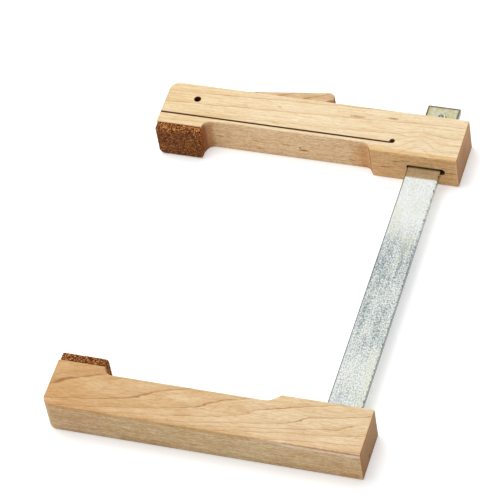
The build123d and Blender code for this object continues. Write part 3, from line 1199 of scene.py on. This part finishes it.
@dataclass
class Bar:
    """The flat bar, its stop pin and the dowel pins that hold it."""

    def build(self) -> None:
        """Dress the bar and its pins."""
        low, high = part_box("bar")
        pin_low, pin_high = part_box("bar_stop_pin")
        plate = ZincPlate(
            name="zinc_plated_bar",
            middle=(low.x + high.x) / 2 / MM,
            half_width=(high.x - low.x) / 2 / MM,
            free_end=high.y / MM,
            pin_place=((pin_low.x + pin_high.x) / 2 / MM, (pin_low.y + pin_high.y) / 2 / MM),
            pin_radius=(pin_high.x - pin_low.x) / 2 / MM,
            blotches=(
                Fleck((4.6, 10.0, 14.0), (1.2, 22.0, 9.0), 0.55),
                Fleck((-4.0, 6.0, 14.0), (5.5, 18.0, 9.0), 0.28),
                Fleck((1.0, -8.0, 14.0), (1.0, 14.0, 9.0), 0.40),
                Fleck((-7.0, -30.0, 14.0), (3.5, 26.0, 9.0), 0.18),
                Fleck((4.0, -48.0, 14.0), (1.2, 26.0, 9.0), 0.35),
            ),
        )
        spring_steel = Steel("spring_steel", colour=(0.86, 0.87, 0.86), roughness=0.3)
        dowel_steel = Steel("dowel_steel", colour=(0.06, 0.055, 0.05), roughness=0.45)
        dress_node("bar", plate.material())
        dress_node("bar_stop_pin", spring_steel.material())
        dress_node("bar_dowel_pins", dowel_steel.material())


@dataclass
class CamLever:
    """The lever with its round cam, and the pin that it turns on."""

    tilt: float = 0.42
    length: float = 110.0
    height: float = 9.4
    fineness: float = 2.0
    rounding: float = 0.35 * MM
    round_segments: int = 3
    sharp_angle: float = 35.0
    flat_angle: float = 0.5

    def growth(self, spot: Spot) -> Number:
        """Where growth lines run: slanting across the lever.

        Args:
            spot: the point of the surface.

        Returns:
            The distance across the growth lines.
        """
        _, x, y, z = spot
        return y + (self.length - x) * self.tilt + (self.height - z) * self.fineness

    def build(self) -> None:
        """Make the lever with rounded edges in the place of its plain node."""
        low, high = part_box("cam_lever")
        piece = Bench.copy_of("cam_lever", "maple_lever")
        Bench.only(piece)
        bpy.ops.object.mode_set(mode="EDIT")
        bpy.ops.mesh.select_all(action="SELECT")
        bpy.ops.mesh.dissolve_limited(angle_limit=math.radians(self.flat_angle))
        bpy.ops.object.mode_set(mode="OBJECT")
        Bench.finish_with(
            piece,
            "BEVEL",
            width=self.rounding,
            segments=self.round_segments,
            limit_method="ANGLE",
            angle_limit=math.radians(self.sharp_angle),
        )
        Bench.smooth(piece, self.sharp_angle)
        wood = Maple(
            name="lever_maple",
            pale=(0.76, 0.60, 0.37),
            warm=(0.58, 0.39, 0.22),
            line=(0.56, 0.35, 0.22),
            line_half_width=0.10,
            growth_places=(4.0, 9.0, 15.0, 20.0, 27.0, 33.0, 38.0, 45.0),
            growth=self.growth,
            corner=(low.x / MM, low.y / MM, low.z / MM),
            across=1.0,
            end_tint=(0.40, 0.28, 0.19),
            seed=27.0,
        )
        Bench.dress(piece, wood.material())
        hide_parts("cam_lever")
        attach(piece, Body.LEVER.value)
        LOG.info("made %s", piece.name)
        black_steel = Steel("black_pin", colour=(0.03, 0.028, 0.026), roughness=0.5)
        dress_node("cam_pivot_pin", black_steel.material())


@dataclass
class Studio:
    """The camera, the lights, the floor and the white surroundings."""

    azimuth: float = 24.58
    elevation: float = 49.17
    roll: float = -10.70
    lens: float = 225.2
    sensor: float = 36.0
    distance: float = 1.988
    target: Point = (-0.0132, 0.00567, 0.0125)
    key_place: Point = (-0.38, 0.26, 1.43)
    key_size: float = 1.2
    key_power: float = 21.3
    sky: float = 0.42
    floor_colour: Colour = (0.80, 0.80, 0.80)
    floor_glow: float = 0.38
    floor_size: float = 6.0
    floor_drop: float = 0.01 * MM

    def build(self) -> None:
        """Set up everything that isn't the object."""
        self._camera()
        self._key_light()
        self._surroundings()
        self._floor()

    def _camera(self) -> None:
        """Put the camera where the photograph was taken."""
        data = bpy.data.cameras.new("camera")
        data.lens = self.lens
        data.sensor_width = self.sensor
        camera = bpy.data.objects.new("camera", data)
        bpy.context.scene.collection.objects.link(camera)
        turn, rise = math.radians(self.azimuth), math.radians(self.elevation)
        back = Vector((math.sin(turn) * math.cos(rise), -math.cos(turn) * math.cos(rise), math.sin(rise)))
        upright = (-back).to_track_quat("-Z", "Y")
        camera.rotation_mode = "QUATERNION"
        camera.rotation_quaternion = upright @ Quaternion((0.0, 0.0, 1.0), math.radians(self.roll))
        camera.location = Vector(self.target) + back * self.distance
        bpy.context.scene.camera = camera

    def _key_light(self) -> None:
        """Hang one large soft lamp behind and to the left."""
        data = bpy.data.lights.new("key", "AREA")
        data.size = self.key_size
        data.energy = self.key_power
        lamp = bpy.data.objects.new("key", data)
        bpy.context.scene.collection.objects.link(lamp)
        lamp.visible_glossy = False
        lamp.location = self.key_place
        lamp.rotation_mode = "QUATERNION"
        lamp.rotation_quaternion = (-Vector(self.key_place)).to_track_quat("-Z", "Y")

    def _surroundings(self) -> None:
        """White to the eye and to metal, and a soft level of light on everything else."""
        world = bpy.data.worlds.new("surroundings")
        bpy.context.scene.world = world
        world.use_nodes = True
        tree = world.node_tree
        tree.nodes.clear()
        seen = self._seen(tree)
        shown = tree.nodes.new("ShaderNodeBackground")
        shown.inputs["Strength"].default_value = 1.0
        lit = tree.nodes.new("ShaderNodeBackground")
        lit.inputs["Strength"].default_value = self.sky
        for background in (shown, lit):
            background.inputs["Color"].default_value = (*WHITE, 1.0)
        mixed = tree.nodes.new("ShaderNodeMixShader")
        output = tree.nodes.new("ShaderNodeOutputWorld")
        tree.links.new(seen, mixed.inputs[0])
        tree.links.new(lit.outputs[0], mixed.inputs[1])
        tree.links.new(shown.outputs[0], mixed.inputs[2])
        tree.links.new(mixed.outputs[0], output.inputs["Surface"])

    @staticmethod
    def _seen(tree: bpy.types.NodeTree) -> bpy.types.NodeSocket:
        """Tell what is seen, in itself or in a reflection, from what only lights the object.

        Args:
            tree: the nodes to add to.

        Returns:
            The socket, which is 1 where a ray comes from the camera or from a glossy or clear face.
        """
        path = tree.nodes.new("ShaderNodeLightPath")
        total = path.outputs["Is Camera Ray"]
        for name in ("Is Glossy Ray", "Is Transmission Ray"):
            add = tree.nodes.new("ShaderNodeMath")
            add.operation = "MAXIMUM"
            tree.links.new(total, add.inputs[0])
            tree.links.new(path.outputs[name], add.inputs[1])
            total = add.outputs[0]
        return total

    def _floor(self) -> None:
        """Lay a plain pale floor that keeps the object's shadow."""
        bpy.ops.mesh.primitive_plane_add(size=self.floor_size, location=(0.0, 0.0, -self.floor_drop))
        floor = bpy.context.object
        floor.name = "floor"
        recipe = Recipe("floor_paper")
        diffuse = recipe.node("ShaderNodeBsdfDiffuse", None, {"Color": self.floor_colour})
        glow = recipe.node("ShaderNodeEmission", None, {"Color": WHITE, "Strength": self.floor_glow})
        bright = recipe.node("ShaderNodeAddShader", None, {0: diffuse.outputs[0], 1: glow.outputs[0]})
        inputs = {0: self._seen(recipe.tree), 1: diffuse.outputs[0], 2: bright.outputs[0]}
        mixed = recipe.node("ShaderNodeMixShader", None, inputs)
        recipe.node("ShaderNodeOutputMaterial", None, {"Surface": mixed.outputs[0]})
        Bench.dress(floor, recipe.material)


def main() -> None:
    """Build the whole scene in order."""
    logging.basicConfig(level=logging.INFO, format="%(name)s: %(message)s")
    bpy.context.scene.view_settings.view_transform = "Standard"
    for part in (FixedJaw(), SlidingJaw(), Bar(), CamLever(), Studio()):
        part.build()
        LOG.info("built %s", type(part).__name__)


if __name__ == "__main__":
    main()
